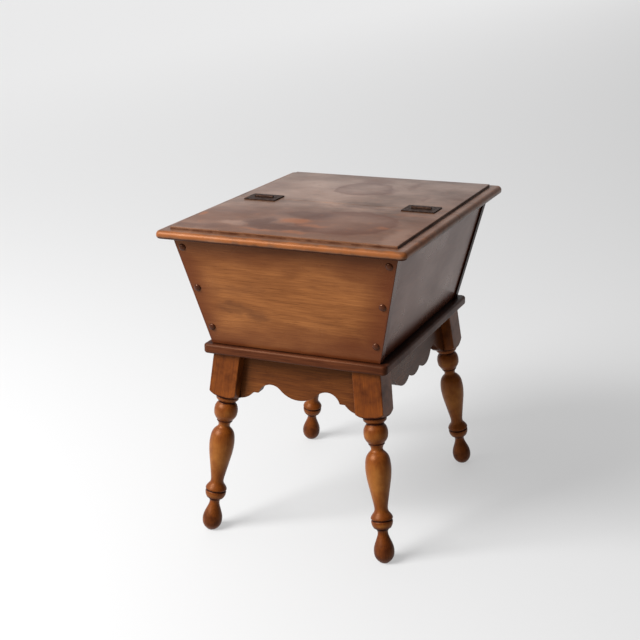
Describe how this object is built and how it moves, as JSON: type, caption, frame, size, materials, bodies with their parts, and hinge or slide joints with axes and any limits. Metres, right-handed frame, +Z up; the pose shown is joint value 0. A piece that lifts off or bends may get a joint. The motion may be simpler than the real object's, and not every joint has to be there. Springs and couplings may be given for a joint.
{
  "type": "sugar chest",
  "caption": "Splayed wooden chest with a hinged half lid, on a stand with scalloped aprons and splayed turned legs.",
  "frame": {"origin": "on the floor under the middle of the chest", "axes": "+Z up, front with the lid towards -Y, +X to the right seen from the front"},
  "size_m": [0.438, 0.542, 0.5644],
  "materials": {
    "case_wood": "satin varnish over a warm brown stain",
    "pegs": "satin varnish",
    "blocks": "bare",
    "hinge_iron": "blackened, satin",
    "screw_steel": "dull"
  },
  "bodies": {
    "chest": {"rear_top": "case_wood", "back_cleat": "blocks", "left_cleat": "blocks", "right_cleat": "blocks", "platform": "case_wood", "front_board": "case_wood", "back_board": "case_wood", "left_board": "case_wood", "right_board": "case_wood", "front_apron": "case_wood", "back_apron": "case_wood", "left_apron": "case_wood", "right_apron": "case_wood", "leg_front_left": "case_wood", "leg_front_right": "case_wood", "leg_back_left": "case_wood", "leg_back_right": "case_wood", "corner_block_front_left": "blocks", "corner_block_front_right": "blocks", "corner_block_back_left": "blocks", "corner_block_back_right": "blocks", "front_pegs": "pegs", "back_pegs": "pegs", "hinge_left_fixed_leaf": "hinge_iron", "hinge_right_fixed_leaf": "hinge_iron", "hinge_left_pin": "hinge_iron", "hinge_right_pin": "hinge_iron", "fixed_hinge_screws": "hinge_iron", "box_screws": "screw_steel", "corner_block_screws": "screw_steel", "cleat_screws": "screw_steel"},
    "lid": {"lid": "case_wood", "hinge_left_lid_leaf": "hinge_iron", "hinge_right_lid_leaf": "hinge_iron", "lid_hinge_screws": "hinge_iron"}
  },
  "joints": [
    {"name": "lid_hinge", "type": "hinge", "parent": "chest", "child": "lid", "pos_m": [0, 0.002, 0.5618], "axis": [-1, 0, 0], "range_deg": [0, 180]}
  ]
}
